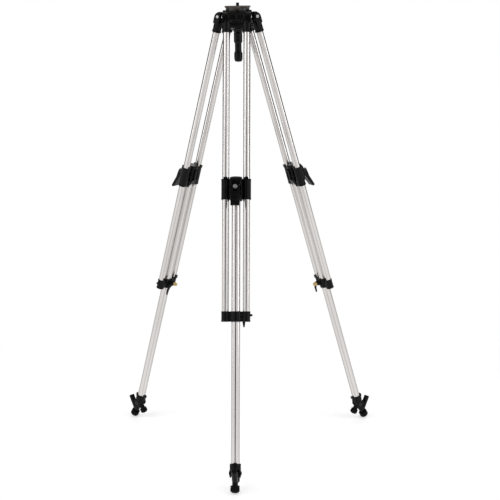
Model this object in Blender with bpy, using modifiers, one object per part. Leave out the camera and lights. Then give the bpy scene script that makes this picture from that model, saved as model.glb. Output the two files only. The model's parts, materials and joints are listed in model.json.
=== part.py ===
"""Instrument tripod with twin-rail legs, a 70 mm levelling half ball and rocking feet."""

from math import asin, atan2, cos, hypot, pi, radians, sin, sqrt

import bmesh
import bpy
from mathutils import Matrix, Vector

# Lengths are metres. Head heights count from the ball centre, which lies in the bowl's rim plane.
# Leg shapes are drawn in the leg's own frame: origin on the shoulder hinge, +X outward across the
# leg, +Y along the hinge, +Z up the leg.
LEGS = {"front": radians(-90), "right": radians(30), "left": radians(150)}
SPREAD = radians(16.5)      # leg against the vertical, resting on its stop
GAP = 0.0003                # running gap between neighbouring pieces
PIN_SIDES = 12              # facets of pins, bolts and their bores

# Head
BALL_R = 0.0347             # levelling half ball
FLANGE_R = 0.0382           # seat for the instrument
FLANGE_TOP = 0.0120
FLARE_START = radians(10.3)  # the flange may not reach the bowl until this far above the rim
PAD_TOP = 0.0133
STUD_R = 0.00475            # 3/8 inch camera thread
STUD_TOP = 0.0225
ROD_R = 0.0040
BOWL_R = 0.0400             # outside of the rim
BOWL_SPHERE_R = 0.0430      # outside of the round bottom
BOWL_HOLLOW_R = 0.0375
BOWL_HOLE_R = 0.0145        # lets the draw rod swing
LINER_R = 0.0370
LINER_DEPTH = 0.0112
CUP_R = 0.0434              # hollow face of the clamp cup
CUP_BOTTOM = -0.0610
GRIP_R = 0.0127
GRIP_BOTTOM = -0.1178
KNOB_BOTTOM = -0.1470

# Shoulder
HINGE_R = 0.0424            # hinge distance from the tripod's axis
HINGE_Z = -0.0170
LUG_HALF = 0.0235
ARM_OUTER = 0.0415
PIN_R = 0.0040

# Leg
RAIL_R = 0.0100
RAIL_Y = 0.0295             # half the rail spacing
RAIL_TOP = -0.0165
RAIL_BOTTOM = -0.8680
TUBE_R = 0.0125
TUBE_WALL = 0.0015
SOCKET_R = 0.01225
SLIDER_TOP = -0.4626
SLIDER_BOTTOM = -0.5266
SLIDER_COLLAR_R = 0.0130
LEVER_X = 0.0310            # lever pivot
LEVER_Z = -0.4930
LEVER_HALF = 0.0128
LEVER_NOSE_R = 0.0072
BRACKET_TOP = -0.8412
BRACKET_BOTTOM = -0.8706
SCREW_Z = -0.8500           # brass lock screw

# Foot, measured from the rocker's pivot
PIVOT_Z = -1.2900
FORK_TOP = -1.2635
FORK_R = 0.0158
FORK_SLOT = 0.0116          # half width
TOE = (0.0100, -0.0430)
HEEL = (-0.0215, -0.0195)
PEG = (0.0370, 0.0050)      # tread peg

COLOURS = {
    "black_casting": ((0.018, 0.018, 0.019), 0.45, 0.0),
    "black_grip": ((0.012, 0.012, 0.013), 0.55, 0.0),
    "black_rubber": ((0.010, 0.010, 0.010), 0.85, 0.0),
    "bright_tube": ((0.80, 0.80, 0.81), 0.22, 1.0),
    "bright_steel": ((0.70, 0.70, 0.70), 0.25, 1.0),
    "dark_steel": ((0.06, 0.06, 0.065), 0.35, 1.0),
    "brass": ((0.72, 0.52, 0.24), 0.30, 1.0),
    "cork_pad": ((0.22, 0.17, 0.14), 0.90, 0.0),
    "nylon": ((0.60, 0.60, 0.56), 0.60, 0.0),
}


def clear_scene():
    for obj in list(bpy.data.objects):
        bpy.data.objects.remove(obj, do_unlink=True)
    for group in list(bpy.data.collections):
        bpy.data.collections.remove(group)


def make_material(name):
    colour, roughness, metallic = COLOURS[name]
    material = bpy.data.materials.new(name)
    material.use_nodes = True
    shader = material.node_tree.nodes["Principled BSDF"]
    shader.inputs["Base Color"].default_value = (*colour, 1.0)
    shader.inputs["Roughness"].default_value = roughness
    shader.inputs["Metallic"].default_value = metallic
    return material


def temporary(mesh):
    obj = bpy.data.objects.new("shape", mesh)
    bpy.context.scene.collection.objects.link(obj)
    return obj


def bake(obj):
    """Apply an object's modifiers or curve settings and leave one closed mesh object."""
    graph = bpy.context.evaluated_depsgraph_get()
    mesh = bpy.data.meshes.new_from_object(obj.evaluated_get(graph))
    bm = bmesh.new()
    bm.from_mesh(mesh)
    bmesh.ops.remove_doubles(bm, verts=bm.verts, dist=0.00002)
    bmesh.ops.recalc_face_normals(bm, faces=bm.faces)
    bm.to_mesh(mesh)
    bm.free()
    bpy.data.objects.remove(obj, do_unlink=True)
    return temporary(mesh)


def cylinder(radius, low, high, sides=20, axis="Z", at=(0, 0), end_radius=None):
    """Cylinder or cone from low to high along an axis; at is its place across the axis."""
    mesh = bpy.data.meshes.new("cylinder")
    bm = bmesh.new()
    bmesh.ops.create_cone(bm, cap_ends=True, segments=sides, radius1=radius,
                          radius2=radius if end_radius is None else end_radius, depth=high - low)
    bmesh.ops.translate(bm, verts=bm.verts, vec=(0, 0, (low + high) / 2))
    turns = {"Z": Matrix(), "X": Matrix.Rotation(pi / 2, 4, "Y"), "Y": Matrix.Rotation(-pi / 2, 4, "X")}
    places = {"Z": (at[0], at[1], 0), "X": (0, at[0], at[1]), "Y": (at[0], 0, at[1])}
    bmesh.ops.transform(bm, verts=bm.verts, matrix=Matrix.Translation(places[axis]) @ turns[axis])
    bm.to_mesh(mesh)
    bm.free()
    return temporary(mesh)


def rod(start, end, radius, sides=16):
    """Round bar between two points of the leg's middle plane, given as (x, z)."""
    run = Vector((end[0] - start[0], 0, end[1] - start[1]))
    bar = cylinder(radius, 0, run.length, sides)
    turn = run.to_track_quat("Z", "Y").to_matrix().to_4x4()
    bar.data.transform(Matrix.Translation((start[0], 0, start[1])) @ turn)
    return bar


def block(low, high):
    mesh = bpy.data.meshes.new("block")
    bm = bmesh.new()
    bmesh.ops.create_cube(bm, size=1)
    size = [b - a for a, b in zip(low, high)]
    bmesh.ops.scale(bm, verts=bm.verts, vec=size)
    bmesh.ops.translate(bm, verts=bm.verts, vec=[(a + b) / 2 for a, b in zip(low, high)])
    bm.to_mesh(mesh)
    bm.free()
    return temporary(mesh)


def slab(outline, low, high):
    """Flat outline of (x, z) points, as thick as low to high along Y."""
    curve = bpy.data.curves.new("outline", "CURVE")
    curve.dimensions = "2D"
    curve.fill_mode = "BOTH"
    curve.extrude = (high - low) / 2
    spline = curve.splines.new("POLY")
    spline.points.add(len(outline) - 1)
    for point, (x, z) in zip(spline.points, outline):
        point.co = (x, z, 0, 1)
    spline.use_cyclic_u = True
    plate = bake(temporary(curve))
    plate.data.transform(Matrix.Translation((0, (low + high) / 2, 0)) @ Matrix.Rotation(pi / 2, 4, "X"))
    return plate


def turned(profile, sides=32):
    """Closed profile of (radius, height) points spun round Z."""
    mesh = bpy.data.meshes.new("profile")
    last = len(profile) - 1
    edges = [(i, i + 1) for i in range(last)]
    if profile[0][0] > 0 or profile[last][0] > 0:
        edges.append((last, 0))
    mesh.from_pydata([(r, 0, z) for r, z in profile], edges, [])
    obj = temporary(mesh)
    screw = obj.modifiers.new("turn", "SCREW")
    screw.steps = sides
    screw.render_steps = sides
    screw.use_merge_vertices = True
    screw.merge_threshold = 0.00002
    return bake(obj)


def sphere_arc(radius, start_height, end_height, points):
    """Points of a circle round the ball centre, from one height to another."""
    first, last = asin(start_height / radius), asin(end_height / radius)
    angles = [first + (last - first) * i / (points - 1) for i in range(points)]
    return [(radius * cos(a), radius * sin(a)) for a in angles]


def combine(base, tools, operation):
    for tool in tools:
        boolean = base.modifiers.new(operation.lower(), "BOOLEAN")
        boolean.operation = operation
        boolean.solver = "EXACT"
        boolean.object = tool
    result = bake(base)
    for tool in tools:
        bpy.data.objects.remove(tool, do_unlink=True)
    return result


def join(base, *tools):
    return combine(base, tools, "UNION")


def cut(base, *tools):
    return combine(base, tools, "DIFFERENCE")


def leg_rest(azimuth):
    """Place of a leg's frame under the head, with the leg on its spread stop."""
    place = Matrix.Translation((HINGE_R * cos(azimuth), HINGE_R * sin(azimuth), HINGE_Z))
    return place @ Matrix.Rotation(azimuth, 4, "Z") @ Matrix.Rotation(-SPREAD, 4, "Y")


# ---- Head ----

def crown_shape():
    rim = sqrt(BOWL_SPHERE_R ** 2 - BOWL_R ** 2)
    floor = sqrt(BOWL_SPHERE_R ** 2 - BOWL_HOLE_R ** 2)
    outside = [(0.010, 0), (BOWL_R - 0.001, 0), (BOWL_R, -0.001)]
    outside += sphere_arc(BOWL_SPHERE_R, -rim, -floor, 6) + [(0.010, -floor)]
    crown = turned(outside)
    lug = [(0.0110, -0.0134), (0.0135, 0.0020), (0.0080, 0.0110), (-0.0060, 0.0155), (-0.0130, 0.0140),
           (-0.0130, -0.0055), (-0.0055, -0.0124)]
    stop = [(0.0080, -0.0212), (0.0110, -0.0100), (-0.0080, -0.0100), (-0.0060, -0.0195), (0.0, -0.0212)]
    for azimuth in LEGS.values():
        ear = join(slab(lug, -LUG_HALF, LUG_HALF), slab(stop, -0.0160, 0.0160))
        ear.data.transform(leg_rest(azimuth))
        crown = join(crown, ear)
    ledge = LINER_DEPTH + GAP
    bottom = sqrt(BOWL_HOLLOW_R ** 2 - BOWL_HOLE_R ** 2)
    hollow = [(0, 0.02), (LINER_R + GAP, 0.02), (LINER_R + GAP, -ledge)]
    hollow += sphere_arc(BOWL_HOLLOW_R, -ledge, -bottom, 5) + [(BOWL_HOLE_R, -0.06), (0, -0.06)]
    tools = [turned(hollow)]
    for azimuth in LEGS.values():
        bore = cylinder(PIN_R + GAP, -0.03, 0.03, PIN_SIDES, "Y")
        bore.data.transform(leg_rest(azimuth))
        tools.append(bore)
    return cut(crown, *tools)


def liner_shape():
    seat = sphere_arc(BALL_R + GAP, -GAP, -LINER_DEPTH, 5)
    return turned([(LINER_R, -LINER_DEPTH), (LINER_R, -GAP)] + seat)


def half_ball_shape():
    flare = (BALL_R * cos(FLARE_START), BALL_R * sin(FLARE_START))
    skirt, wall, floor = -0.0280, 0.0045, 0.0040
    outside = [(STUD_R + GAP, FLANGE_TOP), (FLANGE_R, FLANGE_TOP), (FLANGE_R, FLANGE_TOP - 0.0015),
               (FLANGE_R - 0.0006, FLANGE_TOP - 0.0024)]
    outside += sphere_arc(BALL_R, flare[1], skirt, 7)
    inside = sphere_arc(BALL_R - wall, skirt, 0.0, 4)
    inside += [(BALL_R - wall, floor), (0.0100, floor), (0.0090, -0.0160), (ROD_R + GAP, -0.0160),
               (ROD_R + GAP, 0.0030), (STUD_R + GAP, 0.0030)]
    return turned(outside + inside)


def top_pad_shape():
    return turned([(STUD_R + 0.001, FLANGE_TOP + GAP), (0.0368, FLANGE_TOP + GAP), (0.0368, PAD_TOP),
                   (STUD_R + 0.001, PAD_TOP)])


def stud_shape():
    return turned([(0, 0.0035), (STUD_R, 0.0035), (STUD_R, STUD_TOP - 0.0012), (STUD_R - 0.0012, STUD_TOP),
                   (0, STUD_TOP)], 16)


def draw_rod_shape():
    return cylinder(ROD_R, -0.1290, 0.0025, PIN_SIDES)


def clamp_cup_shape():
    bore = ROD_R + GAP
    inside = sphere_arc(CUP_R, -sqrt(CUP_R ** 2 - bore ** 2), -0.0376, 5)
    outside = [(0.0242, -0.0390), (0.0246, -0.0420), (0.0232, -0.0475), (0.0195, -0.0530),
               (0.0148, -0.0572), (0.0132, -0.0590), (0.0130, CUP_BOTTOM), (bore, CUP_BOTTOM)]
    return turned(inside + outside, 24)


def handle_grip_shape():
    top = CUP_BOTTOM - GAP
    return turned([(ROD_R + GAP, top), (GRIP_R - 0.001, top), (GRIP_R, top - 0.002), (GRIP_R, -0.0885),
                   (0.0118, -0.0910), (0.0100, -0.0930), (0.0098, GRIP_BOTTOM), (ROD_R + GAP, GRIP_BOTTOM)], 24)


def handle_knob_shape():
    top = GRIP_BOTTOM - GAP
    return turned([(0, -0.1310), (ROD_R + GAP, -0.1310), (ROD_R + GAP, top), (0.0108, top),
                   (GRIP_R, top - 0.0025), (GRIP_R, -0.1395), (0.0112, -0.1445), (0.0075, KNOB_BOTTOM),
                   (0, KNOB_BOTTOM)], 24)


# ---- Leg, top to bottom ----

def shoulder_shape():
    arm = [(-0.0070, -0.0220), (-0.0070, 0.0080), (-0.0020, 0.0150), (0.0050, 0.0150),
           (0.0120, 0.0090), (0.0120, -0.0220)]
    casting = block((-0.0060, -0.0200, -0.0340), (0.0080, 0.0200, -0.0215))
    bores = []
    for side in (-1, 1):
        inner, outer = sorted((side * (LUG_HALF + 0.0005), side * ARM_OUTER))
        casting = join(casting, cylinder(SOCKET_R, -0.0440, -0.0140, at=(0, side * RAIL_Y)),
                       cylinder(SOCKET_R + 0.0007, -0.0460, -0.0425, at=(0, side * RAIL_Y)),
                       slab(arm, inner, outer))
        bores.append(cylinder(RAIL_R + GAP, -0.0500, RAIL_TOP + GAP, at=(0, side * RAIL_Y)))
    return cut(casting, *bores, cylinder(PIN_R + GAP, -0.05, 0.05, PIN_SIDES, "Y"))


def hinge_pin_shape():
    head = ARM_OUTER + GAP
    pin = cylinder(PIN_R, -head - 0.001, head + 0.001, PIN_SIDES, "Y")
    for low, high, first, last in ((head, head + 0.0012, 0.0062, 0.0062), (head + 0.0010, head + 0.0028, 0.0062, 0.0036)):
        pin = join(pin, cylinder(first, low, high, PIN_SIDES, "Y", end_radius=last),
                   cylinder(last, -high, -low, PIN_SIDES, "Y", end_radius=first))
    return pin


def rail_shape():
    inner = RAIL_R - TUBE_WALL
    return turned([(RAIL_R, RAIL_TOP), (RAIL_R, RAIL_BOTTOM), (inner, RAIL_BOTTOM), (inner, RAIL_TOP)], 20)


def slider_shape():
    face = LEVER_X - LEVER_NOSE_R - GAP
    body = cylinder(0.0175, SLIDER_BOTTOM - 0.0020, SLIDER_TOP + 0.0026)
    cheek = [(0.0, SLIDER_TOP), (face - 0.004, SLIDER_TOP), (face, SLIDER_TOP - 0.0080),
             (face, SLIDER_BOTTOM + 0.0100), (face - 0.0080, SLIDER_BOTTOM), (0.0, SLIDER_BOTTOM)]
    body = join(body, slab(cheek, -0.0172, 0.0172),
                block((-0.0070, -0.0250, SLIDER_BOTTOM + 0.001), (0.0070, 0.0250, SLIDER_TOP - 0.001)),
                block((-0.0230, -0.0095, SLIDER_BOTTOM + 0.012), (0.0, 0.0095, SLIDER_TOP - 0.010)))
    collars = [cylinder(SLIDER_COLLAR_R, SLIDER_BOTTOM, SLIDER_TOP, at=(0, side * RAIL_Y)) for side in (-1, 1)]
    body = join(body, *collars)
    bores = [cylinder(RAIL_R + GAP, SLIDER_BOTTOM - 0.01, SLIDER_TOP + 0.01, at=(0, side * RAIL_Y))
             for side in (-1, 1)]
    return cut(body, *bores, cylinder(TUBE_R + GAP, SLIDER_BOTTOM - 0.01, -0.4780),
               cylinder(0.0043, 0.0150, 0.03, PIN_SIDES, "X", at=(0, LEVER_Z)))


def lever_shape():
    nose = [(LEVER_X + LEVER_NOSE_R * cos(radians(a)), LEVER_Z + LEVER_NOSE_R * sin(radians(a)))
            for a in range(0, 181, 20)]
    outline = nose + [(0.0240, -0.5150), (0.0275, -0.5235), (0.0350, -0.5345), (0.0432, -0.5482),
                      (0.0475, -0.5508), (0.0535, -0.5472), (0.0462, -0.5300), (0.0400, -0.5140)]
    lever = slab(outline, -LEVER_HALF, LEVER_HALF)
    return cut(lever, block((0.0, -0.0064, -0.5060), (0.06, 0.0064, -0.4800)),
               cylinder(0.0033, -0.02, 0.02, PIN_SIDES, "Y", at=(LEVER_X, LEVER_Z)))


def lever_pin_shape():
    return cylinder(0.0030, -LEVER_HALF + GAP, LEVER_HALF - GAP, PIN_SIDES, "Y", at=(LEVER_X, LEVER_Z))


def tension_bolt_shape():
    bolt = cylinder(0.0040, 0.0155, 0.0260, PIN_SIDES, "X", at=(0, LEVER_Z))
    bolt = join(bolt, cylinder(0.0060, 0.0245, 0.0410, 16, "X", at=(0, LEVER_Z)))
    return cut(bolt, cylinder(0.0033, -0.02, 0.02, PIN_SIDES, "Y", at=(LEVER_X, LEVER_Z)),
               cylinder(0.0026, 0.0375, 0.05, 6, "X", at=(0, LEVER_Z)))


def tube_shape():
    inner, low, high = TUBE_R - TUBE_WALL, -1.2762, -0.4783
    return turned([(TUBE_R, high), (TUBE_R, low), (inner, low), (inner, high)], 20)


def bracket_shape():
    body = cylinder(0.0165, BRACKET_BOTTOM, BRACKET_TOP)
    body = join(body, block((-0.0085, -0.0220, BRACKET_BOTTOM + 0.0006), (0.0085, 0.0220, BRACKET_TOP - 0.0006)),
                block((-0.0215, -0.0085, SCREW_Z - 0.0085), (0.0, 0.0085, SCREW_Z + 0.0080)))
    body = join(body, *[cylinder(0.01175, BRACKET_BOTTOM, BRACKET_TOP, at=(0, side * RAIL_Y))
                        for side in (-1, 1)])
    body = join(body, cylinder(0.0034, 0.0385, 0.0470, PIN_SIDES, "Y", at=(0.0030, SCREW_Z - 0.002)))
    seats = [cylinder(RAIL_R + GAP, RAIL_BOTTOM - GAP, BRACKET_TOP + 0.01, at=(0, side * RAIL_Y))
             for side in (-1, 1)]
    return cut(body, *seats, cylinder(TUBE_R + GAP, BRACKET_BOTTOM - 0.01, BRACKET_TOP + 0.01),
               cylinder(0.0043, -0.03, 0.0, PIN_SIDES, "X", at=(0, SCREW_Z)))


def lock_screw_shape():
    """Turned brass screw along X; its narrow neck carries the wing."""
    profile = [(0, -0.0130), (0.0040, -0.0130), (0.0040, -0.0220), (0.0058, -0.0222), (0.0058, -0.0262),
               (0.0035, -0.0264), (0.0035, -0.0324), (0.0052, -0.0326), (0.0052, -0.0375), (0.0042, -0.0385),
               (0, -0.0385)]
    screw = turned(profile, 16)
    screw.data.transform(Matrix.Translation((0, 0, SCREW_Z)) @ Matrix.Rotation(pi / 2, 4, "Y"))
    return screw


def lock_wing_shape():
    """Tapered wing in the plane across the screw, hanging to one side of the tube."""
    tip_y, tip_z = 0.0215, SCREW_Z - 0.0356
    reach = hypot(tip_y, tip_z - SCREW_Z)
    wing = slab([(-0.0045, 0.0), (0.0045, 0.0), (0.0020, -reach), (-0.0020, -reach)], -0.0314, -0.0274)
    wing.data.transform(Matrix.Rotation(atan2(tip_y, SCREW_Z - tip_z), 4, "Y"))
    wing = join(cylinder(0.0078, -0.0320, -0.0268, 16, "Y"), wing)
    wing = cut(wing, cylinder(0.0038, -0.04, -0.02, 16, "Y"))
    wing.data.transform(Matrix.Translation((0, 0, SCREW_Z)) @ Matrix.Rotation(-pi / 2, 4, "Z"))
    return wing


# ---- Foot ----

def foot_socket_shape():
    body = cylinder(FORK_R, PIVOT_Z, FORK_TOP)
    body = join(body, cylinder(0.0125, -0.0156, 0.0156, axis="Y", at=(0, PIVOT_Z)))
    return cut(body, cylinder(TUBE_R + GAP, -1.2765, FORK_TOP + 0.01),
               block((-0.03, -FORK_SLOT, PIVOT_Z - 0.03), (0.03, FORK_SLOT, PIVOT_Z + 0.0103)),
               cylinder(PIN_R + GAP, -0.03, 0.03, PIN_SIDES, "Y", at=(0, PIVOT_Z)))


def foot_pin_shape():
    pin = cylinder(PIN_R, -0.0170, 0.0170, PIN_SIDES, "Y", at=(0, PIVOT_Z))
    return join(pin, *[cylinder(0.0058, low, low + 0.0020, PIN_SIDES, "Y", at=(0, PIVOT_Z))
                       for low in (-0.0179, 0.0159)])


def foot_rocker_shape():
    """Cross-shaped casting: toe and heel spigots below, tread peg above on the outer side."""
    start, inside = (0.0, 0.0), 0.62
    toe_end = (TOE[0] * 1.05, TOE[1] * 1.05)
    body = cylinder(0.0098, -FORK_SLOT + GAP, FORK_SLOT - GAP, axis="Y")
    peg_end = (PEG[0] * 1.02, PEG[1] + 0.0030)
    body = join(body, rod(start, toe_end, 0.0080), rod(start, HEEL, 0.0075),
                rod(peg_end, (TOE[0] * 1.1, TOE[1] * inside), 0.0072),
                rod((PEG[0] * 1.06, PEG[1] + 0.0055), (PEG[0] * 0.92, PEG[1] - 0.0035), 0.0088),
                slab([(0.0, -0.0020), (PEG[0] * 0.8, 0.0), (TOE[0] * 1.4, TOE[1] * 0.6), (-0.0030, -0.0180)],
                     -0.0055, 0.0055))
    body = cut(body, cylinder(PIN_R + GAP, -0.03, 0.03, PIN_SIDES, "Y"))
    body.data.transform(Matrix.Translation((0, 0, PIVOT_Z)))
    return body


def cap_shape(centre, radius, length, spigot):
    """Rubber cap over a spigot that points away from the pivot."""
    low, rim = length / 2, -length / 2
    profile = [(0, low), (radius - 0.0035, low), (radius, low - 0.0035), (radius, rim + 0.001),
               (radius - 0.001, rim), (spigot + GAP, rim), (spigot + GAP, low * 0.36), (0, low * 0.36)]
    cap = turned(profile, 20)
    away = Vector((centre[0], 0, centre[1])).to_track_quat("Z", "Y").to_matrix().to_4x4()
    cap.data.transform(Matrix.Translation((centre[0], 0, PIVOT_Z + centre[1])) @ away)
    return cap


def toe_cap_shape():
    return cap_shape(TOE, 0.0130, 0.0200, 0.0080)


def heel_cap_shape():
    return cap_shape(HEEL, 0.0112, 0.0170, 0.0075)


# ---- Assembly ----

HEAD = {  # name: (shape, colour, parent)
    "crown": (crown_shape, "black_casting", "tripod_axis"),
    "bowl_liner": (liner_shape, "nylon", "tripod_axis"),
    "half_ball": (half_ball_shape, "black_casting", "tripod_axis"),
    "top_pad": (top_pad_shape, "cork_pad", "half_ball"),
    "mounting_stud": (stud_shape, "dark_steel", "half_ball"),
    "draw_rod": (draw_rod_shape, "dark_steel", "half_ball"),
    "clamp_cup": (clamp_cup_shape, "black_casting", "half_ball"),
    "handle_grip": (handle_grip_shape, "black_grip", "clamp_cup"),
    "handle_knob": (handle_knob_shape, "black_grip", "handle_grip"),
}

LEG = {  # name: (shape, colour, parent, origin in the leg's frame)
    "hinge_pin": (hinge_pin_shape, "bright_steel", "hinge", (0, 0, 0)),
    "shoulder": (shoulder_shape, "black_casting", "hinge", (0, 0, 0)),
    "rail_a": (rail_shape, "bright_tube", "shoulder", (0, 0, 0)),
    "rail_b": (rail_shape, "bright_tube", "shoulder", (0, 0, 0)),
    "bracket": (bracket_shape, "black_casting", "shoulder", (0, 0, 0)),
    "lock_screw": (lock_screw_shape, "brass", "bracket", (-0.02, 0, SCREW_Z)),
    "lock_wing": (lock_wing_shape, "black_casting", "lock_screw", (-0.02, 0, SCREW_Z)),
    "slider": (slider_shape, "black_casting", "shoulder", (0, 0, SLIDER_BOTTOM)),
    "tension_bolt": (tension_bolt_shape, "bright_steel", "slider", (0, 0, LEVER_Z)),
    "lever": (lever_shape, "black_casting", "slider", (LEVER_X, 0, LEVER_Z)),
    "lever_pin": (lever_pin_shape, "dark_steel", "lever", (LEVER_X, 0, LEVER_Z)),
    "tube": (tube_shape, "bright_tube", "slider", (0, 0, SLIDER_BOTTOM)),
    "foot_socket": (foot_socket_shape, "black_casting", "tube", (0, 0, PIVOT_Z)),
    "foot_pin": (foot_pin_shape, "dark_steel", "foot_socket", (0, 0, PIVOT_Z)),
    "foot_rocker": (foot_rocker_shape, "black_casting", "foot_socket", (0, 0, PIVOT_Z)),
    "toe_cap": (toe_cap_shape, "black_rubber", "foot_rocker", (0, 0, PIVOT_Z)),
    "heel_cap": (heel_cap_shape, "black_rubber", "foot_rocker", (0, 0, PIVOT_Z)),
}
RAIL_SIDE = {"rail_a": -RAIL_Y, "rail_b": RAIL_Y}


def finish_mesh(shape, name, origin, material):
    """Take the mesh off a temporary object, put its origin on the joint and shade it."""
    mesh = shape.data
    mesh.transform(Matrix.Translation(-Vector(origin)))
    mesh.name = name
    mesh.materials.clear()
    mesh.materials.append(material)
    mesh.shade_smooth()
    mesh.set_sharp_from_angle(angle=radians(35))
    bpy.data.objects.remove(shape, do_unlink=True)
    return mesh


def add_piece(name, mesh, parent, world, group):
    obj = bpy.data.objects.new(name, mesh)
    group.objects.link(obj)
    obj.parent = parent
    obj.matrix_parent_inverse = parent.matrix_world.inverted()
    obj.matrix_world = world
    bpy.context.view_layer.update()
    return obj


def add_empty(name, parent, world, group):
    empty = bpy.data.objects.new(name, None)
    empty.empty_display_size = 0.05
    group.objects.link(empty)
    if parent:
        empty.parent = parent
    empty.matrix_world = world
    bpy.context.view_layer.update()
    return empty


def build_head(axis, materials, group):
    made = {"tripod_axis": axis}
    for name, (shape, colour, parent) in HEAD.items():
        mesh = finish_mesh(shape(), name, (0, 0, 0), materials[colour])
        made[name] = add_piece(name, mesh, made[parent], axis.matrix_world.copy(), group)


def build_legs(axis, materials, group):
    meshes = {}
    for name, (shape, colour, _, origin) in LEG.items():
        meshes[name] = finish_mesh(shape(), name, origin, materials[colour])
    for leg, azimuth in LEGS.items():
        frame = leg_rest(azimuth)
        made = {"hinge": add_empty(f"{leg}_hinge", axis, frame, group)}
        for name, (_, _, parent, origin) in LEG.items():
            place = Vector(origin) + Vector((0, RAIL_SIDE.get(name, 0), 0))
            world = frame @ Matrix.Translation(place)
            made[name] = add_piece(f"{leg}_{name}", meshes[name], made[parent], world, group)


def stand_on_ground(axis, group):
    """Move the whole tripod so that its box rests on z = 0 with its middle over the origin."""
    corners = [obj.matrix_world @ v.co for obj in group.objects if obj.type == "MESH" for v in obj.data.vertices]
    low = Vector([min(c[i] for c in corners) for i in range(3)])
    high = Vector([max(c[i] for c in corners) for i in range(3)])
    axis.location = (-(low.x + high.x) / 2, -(low.y + high.y) / 2, -low.z)


def main():
    clear_scene()
    group = bpy.data.collections.new("surveyor_tripod")
    bpy.context.scene.collection.children.link(group)
    materials = {name: make_material(name) for name in COLOURS}
    axis = add_empty("tripod_axis", None, Matrix(), group)
    build_head(axis, materials, group)
    build_legs(axis, materials, group)
    stand_on_ground(axis, group)


main()
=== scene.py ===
import json
from math import asin, atan2, cos, pi, radians, sin, sqrt

import bmesh
import bpy
from mathutils import Matrix, Vector


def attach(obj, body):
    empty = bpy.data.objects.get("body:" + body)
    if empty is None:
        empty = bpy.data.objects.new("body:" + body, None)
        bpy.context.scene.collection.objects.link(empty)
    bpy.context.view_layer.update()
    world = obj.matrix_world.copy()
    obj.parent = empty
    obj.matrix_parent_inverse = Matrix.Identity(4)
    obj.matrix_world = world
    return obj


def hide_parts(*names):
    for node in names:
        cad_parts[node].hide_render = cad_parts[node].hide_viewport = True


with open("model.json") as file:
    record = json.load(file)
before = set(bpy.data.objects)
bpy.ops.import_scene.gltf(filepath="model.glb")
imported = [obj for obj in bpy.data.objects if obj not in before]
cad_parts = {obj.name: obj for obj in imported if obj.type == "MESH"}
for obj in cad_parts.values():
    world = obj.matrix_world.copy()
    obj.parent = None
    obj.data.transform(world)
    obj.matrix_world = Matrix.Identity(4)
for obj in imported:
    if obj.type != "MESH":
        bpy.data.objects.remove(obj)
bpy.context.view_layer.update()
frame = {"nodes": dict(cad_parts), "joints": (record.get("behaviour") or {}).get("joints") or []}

print("frame loaded", len(frame["nodes"]), "nodes")

# Shapes are drawn in millimetres. Head shapes count from the ball centre. Leg shapes sit in the leg's
# own frame: x outward, y along the hinge, z up the leg, with the hinge at the origin.
mm = 0.001
joints = {joint["name"]: joint for joint in frame["joints"]}
legNames = ["front", "right", "left"]
headPlace = Matrix.Translation(Vector(joints["level_tilt"]["pos_m"])) @ Matrix.Scale(mm, 4)


def legPlace(leg):
    up = -Vector(joints[leg + "_leg_slide"]["axis"])
    along = Vector(joints[leg + "_leg_fold"]["axis"])
    out = along.cross(up)
    turn = Matrix((out, along, up)).transposed().to_4x4()
    return Matrix.Translation(Vector(joints[leg + "_leg_fold"]["pos_m"])) @ turn @ Matrix.Scale(mm, 4)


legPlaces = {leg: legPlace(leg) for leg in legNames}


def meshObject(bm, name="shape"):
    bmesh.ops.remove_doubles(bm, verts=bm.verts, dist=0.001)
    bmesh.ops.recalc_face_normals(bm, faces=bm.faces)
    mesh = bpy.data.meshes.new(name)
    bm.to_mesh(mesh)
    bm.free()
    obj = bpy.data.objects.new(name, mesh)
    bpy.context.scene.collection.objects.link(obj)
    return obj


def takeMesh(obj):
    mesh = obj.data
    bpy.data.objects.remove(obj, do_unlink=True)
    return mesh


def softCorners(points, radius, closed=False, segments=4):
    # rounds each corner of a polyline with a short curve, smaller where a side is short
    count = len(points)
    result = []
    for i, corner in enumerate(points):
        if not closed and i in (0, count - 1):
            result.append(corner)
            continue
        here, before, after = Vector(corner), Vector(points[i - 1]), Vector(points[(i + 1) % count])
        back, ahead = before - here, after - here
        reach = min(radius, back.length * 0.45, ahead.length * 0.45)
        start, end = here + back.normalized() * reach, here + ahead.normalized() * reach
        for k in range(segments + 1):
            t = k / segments
            result.append(tuple(start * (1 - t) ** 2 + here * 2 * t * (1 - t) + end * t ** 2))
    return result


def ballArc(radius, startHeight, endHeight, points=14):
    first, last = asin(startHeight / radius), asin(endHeight / radius)
    angles = [first + (last - first) * i / (points - 1) for i in range(points)]
    return [(radius * cos(a), radius * sin(a)) for a in angles]


def lathe(profile, steps=96):
    # spins (radius, height) points round z; a profile that starts and ends off the axis is closed into a ring
    bm = bmesh.new()
    rings = []
    for radius, height in profile:
        if radius < 0.0001:
            rings.append([bm.verts.new((0, 0, height))])
            continue
        turns = [2 * pi * k / steps for k in range(steps)]
        rings.append([bm.verts.new((radius * cos(t), radius * sin(t), height)) for t in turns])
    pairs = list(zip(rings, rings[1:]))
    if len(rings[0]) > 1 and len(rings[-1]) > 1:
        pairs.append((rings[-1], rings[0]))
    for low, high in pairs:
        for k in range(steps):
            n = (k + 1) % steps
            corners = [low[k % len(low)], low[n % len(low)], high[n % len(high)], high[k % len(high)]]
            kept = list(dict.fromkeys(corners))
            if len(kept) > 2:
                bm.faces.new(kept)
    return meshObject(bm)


axisTurns = {"z": Matrix(), "x": Matrix.Rotation(pi / 2, 4, "Y"), "y": Matrix.Rotation(-pi / 2, 4, "X")}


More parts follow.
